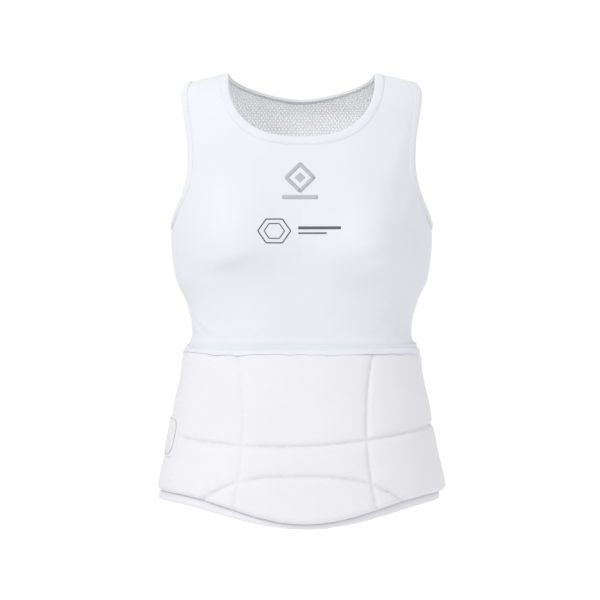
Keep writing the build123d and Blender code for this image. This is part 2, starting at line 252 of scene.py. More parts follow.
def mesh_from(name, points, faces, uvs=None):
    """An object from points in millimetres and faces; unused points are dropped."""
    used = np.unique(np.concatenate([np.ravel(face) for face in faces]))
    index = np.full(len(points), -1)
    index[used] = np.arange(len(used))
    mesh = bpy.data.meshes.new(name)
    mesh.from_pydata((points[used] * MM).tolist(), [], [index[list(face)].tolist() for face in faces])
    if uvs is not None:
        layer = mesh.uv_layers.new(name="weave")
        loops = np.empty(len(mesh.loops), dtype=np.int32)
        mesh.loops.foreach_get("vertex_index", loops)
        layer.data.foreach_set("uv", (uvs[used][loops] * MM).astype(np.float32).ravel())
    mesh.update()
    ob = bpy.data.objects.new(name, mesh)
    bpy.context.collection.objects.link(ob)
    return ob


def grid_faces(rows, columns, wrap_rows=False, wrap_columns=False):
    """Quads of a grid numbered row by row."""
    r = np.arange(rows if wrap_rows else rows - 1)
    c = np.arange(columns if wrap_columns else columns - 1)
    rr, cc = np.meshgrid(r, c, indexing="ij")
    r2, c2 = (rr + 1) % rows, (cc + 1) % columns
    quads = np.stack([rr * columns + cc, rr * columns + c2, r2 * columns + c2, r2 * columns + cc], axis=-1)
    return quads.reshape(-1, 4)


def weave_uvs(points):
    """Lengths across and down a grid, in millimetres, so a weave keeps its size."""
    across = np.linalg.norm(np.diff(points, axis=1, prepend=points[:, :1]), axis=-1).mean(axis=0).cumsum()
    down = np.linalg.norm(np.diff(points, axis=0, prepend=points[:1]), axis=-1).mean(axis=1).cumsum()
    u, v = np.meshgrid(across, down)
    return np.stack([u, v], axis=-1)


def sheet_grid(name, points, keep=None, flip=False):
    """An open sheet from a grid of points; keep marks the faces that stay."""
    rows, columns = points.shape[:2]
    faces = grid_faces(rows, columns)
    if keep is not None:
        faces = faces[keep.reshape(-1)]
    if flip:
        faces = faces[:, ::-1]
    return mesh_from(name, points.reshape(-1, 3), faces, weave_uvs(points).reshape(-1, 2))


def face_outwards(ob):
    work = bmesh.new()
    work.from_mesh(ob.data)
    bmesh.ops.recalc_face_normals(work, faces=work.faces)
    work.to_mesh(ob.data)
    work.free()
    return ob


def folded_uvs(outer):
    """The weave of an outer grid, and the same again for the inner grid that follows it in reverse."""
    uvs = weave_uvs(outer)
    return np.concatenate([uvs, uvs[::-1]], axis=0).reshape(-1, 2)


def wrapped_grid(name, points, uvs=None, wrap_rows=False, wrap_columns=False, caps=()):
    """A closed piece from a grid that wraps one way or both, with caps over the ends still open."""
    rows, columns = points.shape[:2]
    faces = grid_faces(rows, columns, wrap_rows, wrap_columns).tolist() + list(caps)
    if uvs is None:
        uvs = weave_uvs(points).reshape(-1, 2)
    return face_outwards(mesh_from(name, points.reshape(-1, 3), faces, uvs))


def end_caps(rows, columns):
    """The first and the last row of a grid, as one face each."""
    return [list(range(columns)), list(range((rows - 1) * columns, rows * columns))]


def closed_grid(name, outer, inner):
    """A closed piece from an outer and an inner grid of the same size, joined round their edges."""
    rows, columns = outer.shape[:2]
    number = np.arange(2 * rows * columns).reshape(2 * rows, columns)
    caps = []
    for column in (0, columns - 1):
        for r in range(rows - 1):
            cap = [number[r, column], number[r + 1, column]]
            cap += [number[2 * rows - 2 - r, column], number[2 * rows - 1 - r, column]]
            caps.append(cap if column == 0 else cap[::-1])
    points = np.concatenate([outer, inner[::-1]], axis=0)
    return wrapped_grid(name, points, folded_uvs(outer), wrap_rows=True, caps=caps)


def thicken(ob, thickness):
    """Gives an open sheet its thickness, inwards, by a modifier."""
    solid = ob.modifiers.new("thickness", "SOLIDIFY")
    solid.thickness = thickness * MM
    solid.offset = -1
    return ob


def lengths_along(path):
    """The length of a path up to each of its points."""
    return np.concatenate([[0], np.linalg.norm(np.diff(path, axis=0), axis=1).cumsum()])


def resample(path, step, closed=False):
    """The path at even steps of about the given length."""
    points = np.vstack([path, path[:1]]) if closed else path
    along = lengths_along(points)
    count = max(2, int(round(along[-1] / step)))
    at = np.linspace(0, along[-1], count + 1)[: count if closed else count + 1]
    return np.stack([np.interp(at, along, points[:, k]) for k in range(points.shape[1])], axis=-1)


def relax(path, rounds, closed=False):
    """Smooths a path by averaging neighbours."""
    for _ in range(rounds):
        before, after = np.roll(path, 1, axis=0), np.roll(path, -1, axis=0)
        moved = path * 0.5 + (before + after) * 0.25
        if not closed:
            moved[0], moved[-1] = path[0], path[-1]
        path = moved
    return path


def tangents(path, closed=False):
    if closed:
        t = np.roll(path, -1, axis=0) - np.roll(path, 1, axis=0)
    else:
        t = np.gradient(path, axis=0)
    return t / np.linalg.norm(t, axis=1, keepdims=True)


class Skin:
    """The vest's outer surface, to find the nearest point on it."""

    def __init__(self, grow):
        points = torso(round_angles(400), heights(-60, VEST_TOP + 0.1, 2.2)[:, None], grow)
        rows, columns = points.shape[:2]
        self.points = points.reshape(-1, 3)
        self.faces = grid_faces(rows, columns, wrap_columns=True)
        normals = np.zeros_like(self.points)
        corners = self.points[self.faces]
        flat = np.cross(corners[:, 2] - corners[:, 0], corners[:, 3] - corners[:, 1])
        for k in range(4):
            np.add.at(normals, self.faces[:, k], flat)
        self.normals = normals / np.maximum(np.linalg.norm(normals, axis=1, keepdims=True), 1e-9)
        self.tree = BVHTree.FromPolygons(self.points.tolist(), self.faces.tolist())

    def nearest(self, points):
        places, ups = [], []
        for p in points:
            place, _, face, _ = self.tree.find_nearest(Vector(p))
            corners = self.faces[face]
            weights = np.array(poly_3d_calc([Vector(self.points[c]) for c in corners], place))
            up = (self.normals[corners] * weights[:, None]).sum(0)
            places.append(place[:])
            ups.append(up / np.linalg.norm(up))
        return np.array(places), np.array(ups)


VEST_STITCH = (3.0, 2.3, 0.22)  # from dash to dash, length and radius of a dash
PAD_STITCH = (3.4, 2.5, 0.24)
CLOSURE_STITCH = (2.6, 2.0, 0.2)
THREAD_SIDES = 5
DASH = [(-0.5, 0.35), (-0.3, 1), (0.3, 1), (0.5, 0.35)]  # a dash's rings: share of its length, of its radius


def stitches(name, paths, stitch, material, body="vest"):
    """Runs of raised thread dashes along paths of (point, normal) pairs, as one piece."""
    pitch, length, radius = stitch
    points, faces = [], []
    first, last = end_caps(len(DASH), THREAD_SIDES)
    dash_faces = [*grid_faces(len(DASH), THREAD_SIDES, wrap_columns=True).tolist(), first[::-1], last]
    for path, normals in paths:
        both = resample(np.hstack([path, normals]), pitch)
        line, up = both[:, :3], both[:, 3:]
        for p, d, n in zip(line, tangents(line), up):
            n = n / np.linalg.norm(n)
            b = np.cross(d, n)
            faces += [[len(points) + k for k in face] for face in dash_faces]
            for share, size in DASH:
                for k in range(THREAD_SIDES):
                    a = 2 * math.pi * k / THREAD_SIDES
                    ring = (b * math.cos(a) + n * math.sin(a)) * radius * size
                    points.append(p + d * share * length + ring)
    return finish_piece(mesh_from(name, np.array(points), faces), body, material)


# ---- Materials
VEST_WHITE = (0.664, 0.672, 0.715)


def add(tree, kind, inputs=None, **settings):
    node = tree.nodes.new(kind)
    for key, value in settings.items():
        setattr(node, key, value)
    for key, value in (inputs or {}).items():
        if hasattr(value, "is_output"):
            tree.links.new(value, node.inputs[key])
        else:
            node.inputs[key].default_value = value
    return node


def object_place(tree):
    return add(tree, "ShaderNodeTexCoord").outputs["Object"]


def new_material(name, colour, roughness, sheen, amount=0.0, size=1.0):
    """A matte material; amount makes soft patches darker and lighter than its colour, size metres across."""
    material = bpy.data.materials.new(name)
    material.use_nodes = True
    tree = material.node_tree
    shader = tree.nodes["Principled BSDF"]
    shader.inputs["Base Color"].default_value = (*colour, 1)
    shader.inputs["Roughness"].default_value = roughness
    shader.inputs["Sheen Weight"].default_value = sheen
    shader.inputs["Sheen Roughness"].default_value = 0.5
    shader.inputs["Specular IOR Level"].default_value = 0.25
    if amount:
        inputs = {"Vector": object_place(tree), "Scale": 1 / size, "Detail": 3}
        patches = add(tree, "ShaderNodeTexNoise", inputs)
        ramp = add(tree, "ShaderNodeValToRGB", {"Fac": patches.outputs["Fac"]})
        for element, position, factor in zip(ramp.color_ramp.elements, (0.3, 0.7), (1 - amount, 1 + amount)):
            element.position = position
            element.color = (*[min(1, c * factor) for c in colour], 1)
        tree.links.new(ramp.outputs["Color"], shader.inputs["Base Color"])
    return material, tree, shader


def wave(tree, vector, pitch, direction):
    """A sine of the given pitch, in metres, from 0 to 1."""
    scale = 2 * math.pi / (20 * pitch)
    node = add(tree, "ShaderNodeTexWave", {"Vector": vector, "Scale": scale}, bands_direction=direction)
    return node.outputs["Fac"]


def bump(tree, shader, height, distance):
    node = add(tree, "ShaderNodeBump", {"Height": height, "Distance": distance, "Strength": 1.0})
    tree.links.new(node.outputs["Normal"], shader.inputs["Normal"])


def weave(tree):
    return add(tree, "ShaderNodeUVMap", uv_map="weave").outputs["UV"]


def knit(name, colour, pitch=0.0009, relief=0.00005):
    """Fine stretch knit: courses and wales crossing at the given pitch."""
    material, tree, shader = new_material(name, colour, 0.8, 0.14, 0.012, 0.05)
    uv = weave(tree)
    a, b = wave(tree, uv, pitch, "X"), wave(tree, uv, pitch * 1.25, "Y")
    product = add(tree, "ShaderNodeMath", {0: a, 1: b}, operation="MULTIPLY")
    bump(tree, shader, product.outputs["Value"], relief)
    return material


def pad_knit(name, colour):
    """Fine mesh knit over foam: small staggered pits, their colour darkened a little as painted shade in the
    recesses.
    """
    material, tree, shader = new_material(name, colour, 0.88, 0.05, 0.01, 0.06)
    patches = shader.inputs["Base Color"].links[0].from_socket
    uv = weave(tree)
    a, b = wave(tree, uv, 0.0024, "X"), wave(tree, uv, 0.0024, "Y")
    pits = add(tree, "ShaderNodeMath", {0: a, 1: b}, operation="MULTIPLY").outputs["Value"]
    edge = add(tree, "ShaderNodeMapRange", {"Value": pits, "From Min": 0.35, "From Max": 0.8})
    settings = {"data_type": "RGBA", "blend_type": "MULTIPLY"}
    # The pits are darkened a little where the bump sinks them: painted shade.
    shade = add(tree, "ShaderNodeMix", {"Factor": edge.outputs["Result"]}, **settings)
    tree.links.new(patches, shade.inputs["A"])
    shade.inputs["B"].default_value = (0.955, 0.955, 0.96, 1)
    tree.links.new(shade.outputs["Result"], shader.inputs["Base Color"])
    bump(tree, shader, pits, -0.00012)
    return material


def tape(name, colour, pitch, relief, direction="X"):
    """Woven tape or elastic: ribs across it and a finer thread along it."""
    material, tree, shader = new_material(name, colour, 0.8, 0.15, 0.015, 0.03)
    uv = weave(tree)
    other = "Y" if direction == "X" else "X"
    ribs, threads = wave(tree, uv, pitch, direction), wave(tree, uv, pitch * 0.5, other)
    mixed = add(tree, "ShaderNodeMath", {0: threads, 1: 0.35, 2: ribs}, operation="MULTIPLY_ADD")
    bump(tree, shader, mixed.outputs["Value"], relief)
    return material


def fuzzy(name, colour, size, relief, roughness, sheen):
    """Brushed loops, hooks or open foam cells."""
    material, tree, shader = new_material(name, colour, roughness, sheen, 0.03, size * 2.5)
    cells = add(tree, "ShaderNodeTexVoronoi", {"Vector": object_place(tree), "Scale": 1 / size})
    bump(tree, shader, cells.outputs["Distance"], relief)
    return material


def plastic(name, colour):
    material, tree, shader = new_material(name, colour, 0.42, 0, 0.015, 0.08)
    grain = add(tree, "ShaderNodeTexNoise", {"Vector": object_place(tree), "Scale": 900.0, "Detail": 2})
    bump(tree, shader, grain.outputs["Fac"], 0.00004)
    return material


def ink(name, colour):
    """Screen print: matte ink that lets a little of the knit show."""
    return new_material(name, colour, 0.6, 0, 0.05, 0.002)[0]


# ---- Outlines
LOOP_STEP = 1.6  # spacing of the points round an opening


def evenly(values, along, step):
    """The values at even steps, given the length of the curve up to each of them."""
    return np.interp(np.linspace(along[0], along[-1], int((along[-1] - along[0]) / step) + 1), along, values)


def heights(low, high, step):
    """Heights that are evenly spaced along the surface, which is nearly level at the shoulders."""
    fine = np.linspace(low, high, 1600)
    half, front, back = form_at(fine)
    run = np.sqrt(np.gradient(half) ** 2 + np.gradient((front + back) / 2) ** 2 + np.gradient(fine) ** 2)
    return evenly(fine, run.cumsum(), step)


def turns(start, end, z, step):
    """Angles from start to end that are evenly spaced round the form at height z."""
    fine = np.linspace(start, end, 3000)
    return evenly(fine, lengths_along(torso(fine, z)), step)


def arm_x(z):
    return monotone(z, ARM_EDGE[:, 1], ARM_EDGE[:, 0])


def on_vest(points, shrink=BINDING_TUCK):
    """Which points are clear of the neck and arm openings, by at least shrink."""
    x, y, z = np.abs(points[..., 0]), points[..., 1], points[..., 2]
    half = NECK_HALF + shrink
    drop = np.where(y < 0, NECK_FRONT[0], NECK_BACK[0]) + shrink
    power = np.where(y < 0, NECK_FRONT[1], NECK_BACK[1])
    share = np.clip(x / half, 0, 1)
    in_neck = (x < half) & (z > NECK_TOP - drop * (1 - share**power) ** (1 / power))
    in_arm = (z > ARM_EDGE[0, 1] - shrink) & (x > arm_x(z) - shrink)
    return ~(in_neck | in_arm)


def cell_centres(points):
    return (points[:-1, :-1] + points[1:, 1:] + points[:-1, 1:] + points[1:, :-1]) / 4


def neck_loop():
    """The neck opening's edge as a closed path on the vest."""
    sides = []
    for (drop, power), behind in ((NECK_FRONT, False), (NECK_BACK, True)):
        t = np.linspace(math.pi, 0, 240)
        c, s = np.cos(t), np.sin(t)
        x = np.sign(c) * np.abs(c) ** (2 / power) * NECK_HALF
        z = NECK_TOP - s ** (2 / power) * drop
        keep = np.abs(x) < form_at(z)[0] - 0.4
        line = at_x(x[keep], z[keep], FABRIC, behind)
        sides.append(line[::-1] if behind else line)
    return relax(resample(np.vstack(sides), LOOP_STEP, closed=True), 10, closed=True)


def arm_loop():
    """The wearer's left arm opening's edge as a closed path on the vest."""
    fine = np.linspace(ARM_EDGE[0, 1], 325, 2000)
    open_z = fine[form_at(fine)[0] > arm_x(fine) + 0.05]
    t = np.linspace(math.pi, 0, 200)
    z = (open_z[0] + open_z[-1]) / 2 + (open_z[-1] - open_z[0]) / 2 * np.cos(t)
    front, back = at_x(arm_x(z), z, FABRIC), at_x(arm_x(z), z, FABRIC, True)
    return relax(resample(np.vstack([front, back[::-1]]), LOOP_STEP, closed=True), 10, closed=True)


def pad_bottom(x, y):
    share = np.minimum(np.abs(x - UPRIGHT_SHIFT), PAD_TONGUE_HALF) / PAD_TONGUE_HALF
    return PAD_SIDE_BOTTOM - np.where(y < 0, PAD_TONGUE * (np.cos(math.pi * share) + 1) / 2, 0)


# ---- Vest
VEST_WAVES = [(70, 1, 0.45), (24, 2, 0.14)]  # gentle unevenness of the worn knit: size, seed, height
FOLDS = [  # soft drag lines on the vest: start x, z, end x, z, width, height
    (-132, 52, -102, 26, 4.5, 1.3),
    (-128, 38, -112, 20, 3.5, 0.9),
    (130, 60, 104, 30, 5.5, 1.2),
    (118, 84, 92, 44, 8, 1.0),
    (-118, 250, -96, 205, 9, 0.8),
    (120, 262, 100, 190, 9, 1.0),
    (128, 190, 112, 150, 6, 0.8),
    (-60, 26, -30, 17, 4, 0.5),
    (20, 24, 64, 18, 4, 0.6),
]
CREASES = [  # under each side of the bust: middle x and z, half length and width, depth, ridge, tilt
    (-88, 94, 24, 8, 1.0, 2.0, 0.12),
    (92, 87, 20, 8, 1.2, 3.1, 0.42),
]


def bust_creases(x, z):
    """The knit draws in just under the bust and stands off a little above that."""
    total = np.zeros(np.shape(x))
    for middle_x, middle_z, long, wide, deep, ridge, tilt in CREASES:
        along = (x - middle_x) / long
        across = (z - middle_z - tilt * (x - middle_x) - 4 * along**2) / wide
        total = total + (ridge * bell(across - 1.7, 1.1) - deep * bell(across + 0.3)) * bell(along)
    return total


def vest_relief(points):
    """How far the worn knit stands off the form: slack, drag lines and pull at the hem."""
    x, y, z = points[..., 0], points[..., 1], points[..., 2]
    relief = rumple(points, VEST_WAVES)
    for x1, z1, x2, z2, width, tall in FOLDS:
        dx, dz = x2 - x1, z2 - z1
        share = np.clip(((x - x1) * dx + (z - z1) * dz) / (dx * dx + dz * dz), -0.3, 1.3)
        away = np.hypot(x - x1 - share * dx, z - z1 - share * dz)
        ends = smooth(share, -0.3, 0.3) * (1 - smooth(share, 0.7, 1.3))
        relief = relief + np.where(y < 0, tall * bell(away, width) * ends, 0)
    relief = relief + np.where(y < 0, bust_creases(x, z), 0)
    hem = 1 - smooth(z, *HEM_PULL)
    return relief + hem * waves(points * [1, 1, 0.25], 11, 3) * 0.4


def flare(x, y, z):
    """How far the vest's lowest part stands out, over the pad's top or to the back between the wings."""
    wing = np.where(y > 0, smooth(np.abs(x), 24, 80), 1)
    over = FLARE_GAP + (FLARE_PAD - FLARE_GAP) * wing
    return over * (1 - smooth(z, FLARE_LOW, FLARE_HIGH))


def vest_surface(turn, z, extra=0.0):
    """Points on the worn vest's outer surface, or extra above it."""
    base = torso(turn, z, FABRIC)
    grow = FABRIC + flare(base[..., 0], base[..., 1], base[..., 2]) + vest_relief(base)
    return torso(turn, z, grow + extra)


def front_panel(material):
    around, up = turns(math.pi, 2 * math.pi, SPACED_Z, 1.9), heights(VEST_LOW, VEST_TOP, 1.9)
    points = vest_surface(around, up[:, None])
    ob = thicken(sheet_grid("front_panel_knit", points, on_vest(cell_centres(points))), FABRIC)
    return finish_piece(ob, "vest", material, "front_panel")


def side_fillers(rows, columns, clear):
    """Half cells that straighten the two upright edges of the diagonal grid."""
    faces = []
    for edge, inner in ((0, 1), (columns - 1, columns - 2)):
        for r in range(1, rows - 1):
            corners = [(r - 1, edge), (r, inner), (r + 1, edge)]
            if (r + inner) % 2 == 0 and all(clear[k] for k in corners):
                numbers = [i * columns + j for i, j in corners]
                faces.append(numbers[::-1] if edge else numbers)
    return faces


def back_panel(material, inside):
    """Eyelet mesh: diamond cells on a diagonal grid, each with an open hole; its inner side is a paler copy
    of the mesh knit, painted light where the vest's inside lies in shade.
    """
    around, up = turns(0, math.pi, SPACED_Z, 2.05), heights(VEST_LOW, VEST_TOP, 3.5)
    points = vest_surface(around, up[:, None])
    rows, columns = points.shape[:2]
    flat = list(points.reshape(-1, 3))
    uvs = list(weave_uvs(points).reshape(-1, 2))
    clear, solid_rim = on_vest(points, 0.8), on_vest(points, 2.5)
    faces = side_fillers(rows, columns, clear)
    for r in range(1, rows - 1):
        for c in range(1 + r % 2, columns - 1, 2):
            corners = [(r, c - 1), (r - 1, c), (r, c + 1), (r + 1, c)]
            if not all(clear[k] for k in corners):
                continue
            numbers = [i * columns + j for i, j in corners]
            if not all(solid_rim[k] for k in corners) or r < 4:
                faces.append(numbers)
                continue
            middle, middle_uv = points[r, c], uvs[r * columns + c]
            start = len(flat)
            for n in numbers:
                flat.append(middle + (flat[n] - middle) * EYELET)
                uvs.append(middle_uv + (uvs[n] - middle_uv) * EYELET)
            for k in range(4):
                n = (k + 1) % 4
                faces.append([numbers[k], numbers[n], start + n, start + k])
    ob = thicken(mesh_from("back_panel_mesh", np.array(flat), faces, np.array(uvs)), MESH_THICK)
    finish_piece(ob, "vest", material, "back_panel")
    # The inner faces take the paler copy of the mesh knit: painted light where the inside lies in shade.
    ob.data.materials.append(inside)
    ob.modifiers["thickness"].material_offset = 1
    return ob


BINDING_PROFILE = [  # share of the width in from the edge, height over the vest's surface
    (-0.06, -0.6), (-0.05, 0.2), (0.01, 0.65), (0.12, 0.95), (0.45, 0.9),
    (0.72, 0.78), (0.8, 0.58), (0.88, 0.62), (0.96, 0.3), (1.03, -1.1),
]
BINDING_INSIDE = [(1.0, -1.2), (0.9, -2.0), (0.45, -2.3), (0.1, -2.2), (-0.02, -1.5)]


def binding_frame(loop, centre, skin):
    """Along a loop: the direction into the fabric, away from the opening's centre."""
    _, up = skin.nearest(loop)
    across = np.cross(up, tangents(loop, closed=True))
    across /= np.linalg.norm(across, axis=1, keepdims=True)
    outward = (across * (loop - centre)).sum(1).mean() > 0
    return across if outward else -across


def taper(loop, behind):
    """Share of a binding's width at each point of its loop, easing to behind on the back panel."""
    return (1 - (1 - behind) * smooth(loop[:, 1], -5, 25))[:, None]


def binding(name, loop, centre, skin, widths, behind, mirrored, tapes, node):
    """Tape folded over an opening's edge, and the path of its stitching as (points, normals).

    widths are those outside and within; behind is the share of them left on the back panel. tapes are the
    tape and a paler copy of it for the inner side, which is painted light where that side lies in shade.
    """
    width, inside = widths
    across = binding_frame(loop, centre, skin)
    ring = []
    profile = [(share * width, high) for share, high in BINDING_PROFILE]
    profile += [(share * inside, high) for share, high in BINDING_INSIDE]
    for reach, high in profile:
        place, up = skin.nearest(loop + across * reach * taper(loop, behind))
        place = relax(place, 3, closed=True) + across * min(reach, 0)
        ring.append(place + up * high)
    points = np.stack(ring, axis=1)
    if mirrored:
        points = points * [-1, 1, 1]
    rows, columns = points.shape[:2]
    along = np.arange(rows) * LOOP_STEP
    uvs = np.stack(np.meshgrid(np.arange(columns) * 1.0, along), axis=-1).reshape(-1, 2)
    ob = wrapped_grid(name, points, uvs, wrap_rows=True, wrap_columns=True)
    finish_piece(ob, "vest", tapes[0], node)
    # Faces folded inside the opening take the second, paler copy of the tape: painted light where they lie in
    # shade.
    ob.data.materials.append(tapes[1])
    for polygon, face in zip(ob.data.polygons, grid_faces(rows, columns, wrap_rows=True, wrap_columns=True)):
        polygon.material_index = int((face % columns).min() >= len(BINDING_PROFILE) - 1)
    place, up = skin.nearest(loop + across * (width * BINDING_SEAM) * taper(loop, behind))
    place = place + up * BINDING_SEAM_LIFT
    if mirrored:
        place, up = place * [-1, 1, 1], up * [-1, 1, 1]
    return np.vstack([place, place[:1]]), np.vstack([up, up[:1]])


def panel_seams():
    """The side and shoulder seams, where front and back panels meet, as stitch paths."""
    runs = []
    for turn in (0.0, math.pi):
        for low, high in ((HEM_TOP + 2, ARM_EDGE[0, 1] - 2), (313.0, 327.5)):
            z = heights(low, high, 1.5)
            line = vest_surface(turn, z, 0.15)
            runs.append((line, torso(turn, z, 5) - torso(turn, z, 1)))
    return runs


def top_rim(x):
    """How far down the rounding of the pad's top edge reaches: further towards the sides."""
    middle, side = PAD_RIM_TOP
    return middle + (side - middle) * smooth(np.abs(x), 60, 125)


def pad_rise(x, z):
    """Offset of the pad's surface near its rounded top edge, before quilting."""
    return PAD_MIDDLE + (COVER + PAD_PUFF - PAD_MIDDLE) * rim(PAD_TOP - z, top_rim(x))


def waist_band(material):
    """The vest's folded hem, gathered over the pad's top, and the paths of its two stitch rows."""
    around = turns(0, 2 * math.pi, 0, 1.5)[:-1]
    rows = np.linspace(0, 1, 20)
    base = torso(around, 0)
    edge = HEM_LOW + rumple(base, HEM_EDGE_WAVES)
    top = HEM_TOP + waves(base, 52, 8) * 1.6
    z = top + (edge - top) * rows[:, None]
    flat = torso(around, z, FABRIC)
    x, y = flat[..., 0], flat[..., 1]
    on_pad = np.where(y > 0, smooth(np.abs(x), 70, 95), 1)
    loose = smooth(rows, 0.35, 1)[:, None]
    ruffle = waves(flat * [1, 1, 0.2], 7, 7) * 0.75 + waves(flat * [1, 1, 0.3], 19, 9) * 0.8
    lift = FABRIC + flare(x, y, z) + vest_relief(flat) + ruffle * loose
    snug = pad_rise(x, z) + 0.12 + 0.35 * np.maximum(ruffle, 0) * loose
    inner = np.maximum(lift - 1.0, on_pad * snug)
    valley = 0.25 * sum(bell(rows - share, 0.045) for share in HEM_ROWS)
    ends = 0.45 * (1 - smooth(rows, 0, 0.14)) + 0.8 * smooth(rows, 0.6, 1)
    thick = (1.25 - ends - valley)[:, None]
    outer_points, inner_points = torso(around, z, inner + thick), torso(around, z, inner)
    loops = np.concatenate([outer_points, inner_points[::-1]], axis=0)
    ob = wrapped_grid("waist_band_knit", loops, folded_uvs(outer_points), wrap_rows=True, wrap_columns=True)
    finish_piece(ob, "vest", material, "waist_band")
    paths = []
    for share in HEM_ROWS:
        row = int(round(share * (len(rows) - 1)))
        line = outer_points[row] * 1.0
        up = torso(around, z[row], inner[row] + thick[row, 0] + 1) - line
        paths.append((np.vstack([line, line[:1]]), np.vstack([up, up[:1]])))
    return ob, paths


def waist_elastic(material):
    """Elastic inside the hem's fold, just above its free edge."""
    around = turns(0, 2 * math.pi, 0, 3)[:-1]
    z = np.linspace(*ELASTIC_Z, 5)[:, None]
    flat = torso(around, z)
    grow = flare(flat[..., 0], flat[..., 1], z) - 0.35
    outer, inner = torso(around, z, grow + ELASTIC_THICK), torso(around, z, grow)
    loops = np.concatenate([outer, inner[::-1]], axis=0)
    ob = wrapped_grid("waist_elastic_band", loops, wrap_rows=True, wrap_columns=True)
    return finish_piece(ob, "vest", material, "waist_elastic")


# ---- Cups
def cup_foam(side, material):
    rings, spokes = np.linspace(0.03, 1, 26), round_angles(96)
    ring, spoke = np.meshgrid(rings, spokes, indexing="ij")
    x = CUP_X + ring * (CUP_HALF_WIDTH - CUP_FOAM_MARGIN) * np.cos(spoke)
    z = CUP_Z + ring * (CUP_HALF_HEIGHT - CUP_FOAM_MARGIN) * np.sin(spoke)
    thin = CUP_FOAM_THICK * np.sqrt(np.clip(1 - ring**6, 0, 1)) * 0.5
    grids = [at_x(x, z, thin - CUP_FOAM_DEPTH), at_x(x, z, -CUP_FOAM_DEPTH - thin)[::-1]]
    loops = np.concatenate(grids, axis=0) * [side, 1, 1]
    name = SIDE_NAMES[side]
    ob = wrapped_grid(f"cup_foam_pad_{name}", loops, wrap_columns=True, caps=end_caps(*loops.shape[:2]))
    return finish_piece(ob, "vest", material, f"cup_foam_{name}")


def cup_lining(material):
    """The pocket behind the cups: snug behind them, sewn to the panel round its edge."""
    x, z = np.linspace(-LINING_HALF, LINING_HALF, 130), np.linspace(LINING_LOW, LINING_HIGH, 92)[:, None]
    reach = np.hypot((np.abs(x) - CUP_X) / CUP_HALF_WIDTH, (z - CUP_Z) / CUP_HALF_HEIGHT)
    grow = -1.0 - 6.6 * (1 - smooth(reach, 0.98, 1.5))
    points = at_x(x, z, grow)
    ob = sheet_grid("cup_lining_knit", points, on_vest(cell_centres(points), NECK_BINDING + 2))
    thicken(ob, LINING_THICK)
    return finish_piece(ob, "vest", material, "cup_lining")


# ---- Pad
def pad_grid(columns_step, row_shares, grow):
    """Angles and heights of a grid that fills the pad's outline."""
    end = turn_at(WING_END, -90.0, grow, behind=True)
    even = turns(float(end), float(-math.pi - end), -100, columns_step)
    share = (even - even[0]) / (even[-1] - even[0])
    end_low = turn_at(WING_END, -170.0, grow, behind=True)
    low = torso(end_low * (1 - 2 * share) - math.pi * share, -170.0, grow)
    bottom = pad_bottom(low[:, 0], low[:, 1])
    z = PAD_TOP + (bottom - PAD_TOP) * row_shares[:, None]
    ends = turn_at(WING_END, z, grow, behind=True)
    return ends * (1 - 2 * share) - math.pi * share, z, bottom


def seam_paths(grow):
    """The quilting seams as paths on the pad: two uprights, one right round, and the arc."""
    upright_x, upright_z = np.array(UPRIGHT_SEAM, float).T
    z = np.linspace(PAD_TOP, -198, 380)
    x = np.polyval(np.polyfit(upright_z, upright_x, 2), z)
    uprights = [at_x(side * x + UPRIGHT_SHIFT, z, grow) for side in (1, -1)]
    uprights = [line[line[:, 2] > pad_bottom(line[:, 0], line[:, 1]) + 0.5] for line in uprights]
    end = float(turn_at(WING_END, CROSS_SEAM_MIDDLE, grow, behind=True))
    around = np.linspace(end, -math.pi - end, 1200)
    level = np.full(around.shape, float(CROSS_SEAM_MIDDLE))
    for _ in range(5):
        across = torso(around, level, grow)[:, 0]
        rise = (CROSS_SEAM_SIDE - CROSS_SEAM_MIDDLE) * (across / CROSS_SEAM_HALF) ** 2
        level = CROSS_SEAM_MIDDLE + rise + CROSS_SEAM_TILT * across
    x = np.linspace(-ARC_HALF * 1.15, ARC_HALF * 1.15, 520)
    z = ARC_TOP - ARC_DROP * (np.abs(x) / ARC_HALF) ** ARC_POWER
    arc = at_x(x, z, grow)
    arc = arc[arc[:, 2] > pad_bottom(arc[:, 0], arc[:, 1]) + 0.5]
    return [*uprights, torso(around, level, grow), arc]


class Seams:
    """Distance from any point to the nearest quilting seam."""

    def __init__(self, paths):
        points = np.vstack([resample(p, 0.6) for p in paths])
        self.tree = kdtree.KDTree(len(points))
        for k, p in enumerate(points):
            self.tree.insert(p, k)
        self.tree.balance()

    def away(self, points):
        flat = points.reshape(-1, 3)
        found = np.fromiter((self.tree.find(p)[2] for p in flat), float, len(flat))
        return found.reshape(points.shape[:-1])


def pull(points):
    """How tightly each seam draws the foam in: the uprights are slack, and all ease off under the hem."""
    x, z = points[..., 0], points[..., 2]
    slack = sum(share * bell(x - middle, SLACK_WIDTH) for middle, share in SLACK)
    return (1 - slack) * (0.3 + 0.7 * smooth(-z, -4, 14))


def groove(away, tight):
    """How far the cover sinks at a distance from a seam that is drawn in by a share of the full depth."""
    soft = np.sqrt(away**2 + 1.1**2) - 1.1
    return tight * (GROOVE * np.exp(-soft / GROOVE_WIDTH) + CROWN * np.exp(-soft / CROWN_WIDTH))


def rim(distance, radius):
    """0 at an edge, rounding up to 1 at the radius."""
    return np.sqrt(np.clip(1 - (1 - np.clip(distance / radius, 0, 1)) ** 2, 0, 1))


def row_shares(count):
    """Row positions from 0 to 1, closer together at both edges."""
    t = np.linspace(0, 1, count)
    return t - 0.13 * np.sin(4 * math.pi * t) / math.pi * 0.5 - 0.1 * np.sin(2 * math.pi * t) / math.pi


